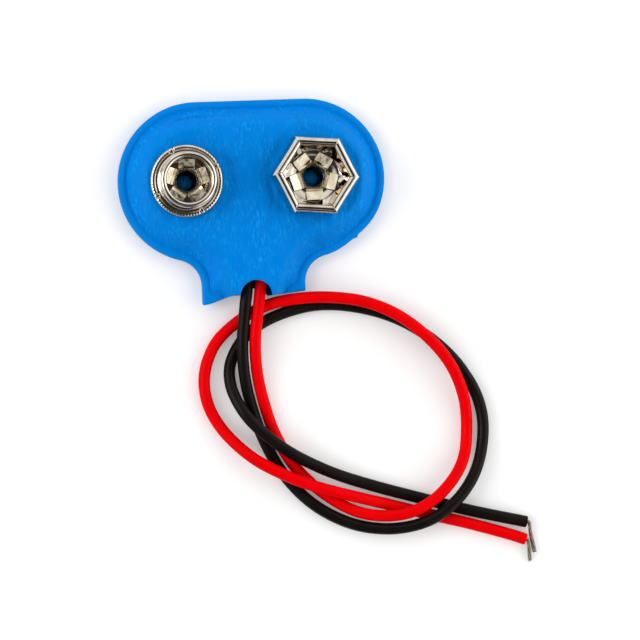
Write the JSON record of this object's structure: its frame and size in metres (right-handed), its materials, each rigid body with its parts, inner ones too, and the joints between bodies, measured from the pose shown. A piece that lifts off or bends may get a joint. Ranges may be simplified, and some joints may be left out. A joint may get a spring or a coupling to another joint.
{
  "type": "battery snap connector",
  "caption": "Snap connector for a 9 V block battery: stud and hexagonal socket riveted to a welded blue vinyl body, with red and black leads that end in bare strands.",
  "frame": {"origin": "on the underside, midway between the axes of the stud and the socket", "axes": "+X from the stud to the socket, +Y away from the leads, +Z out of the face with the terminals"},
  "size_m": [0.0418, 0.0487, 0.0063],
  "materials": {
    "blue_vinyl": "leather-grain vinyl, satin",
    "fibre_board": "pressed fibre",
    "nickel_plate": "bright nickel plate on pressed sheet",
    "tinned_strands": "tinned copper",
    "black_pvc": "semi-gloss",
    "red_pvc": "semi-gloss"
  },
  "bodies": {
    "root": {"front_cover": "blue_vinyl", "back_cover": "blue_vinyl", "backing_board": "fibre_board", "stud_base": "nickel_plate", "stud_shell": "nickel_plate", "socket_terminal": "nickel_plate", "stud_rivet": "nickel_plate", "socket_rivet": "nickel_plate", "black_joint": "tinned_strands", "red_joint": "tinned_strands", "black_wire": "black_pvc", "red_wire": "red_pvc", "black_tip": "tinned_strands", "red_tip": "tinned_strands"}
  },
  "joints": []
}
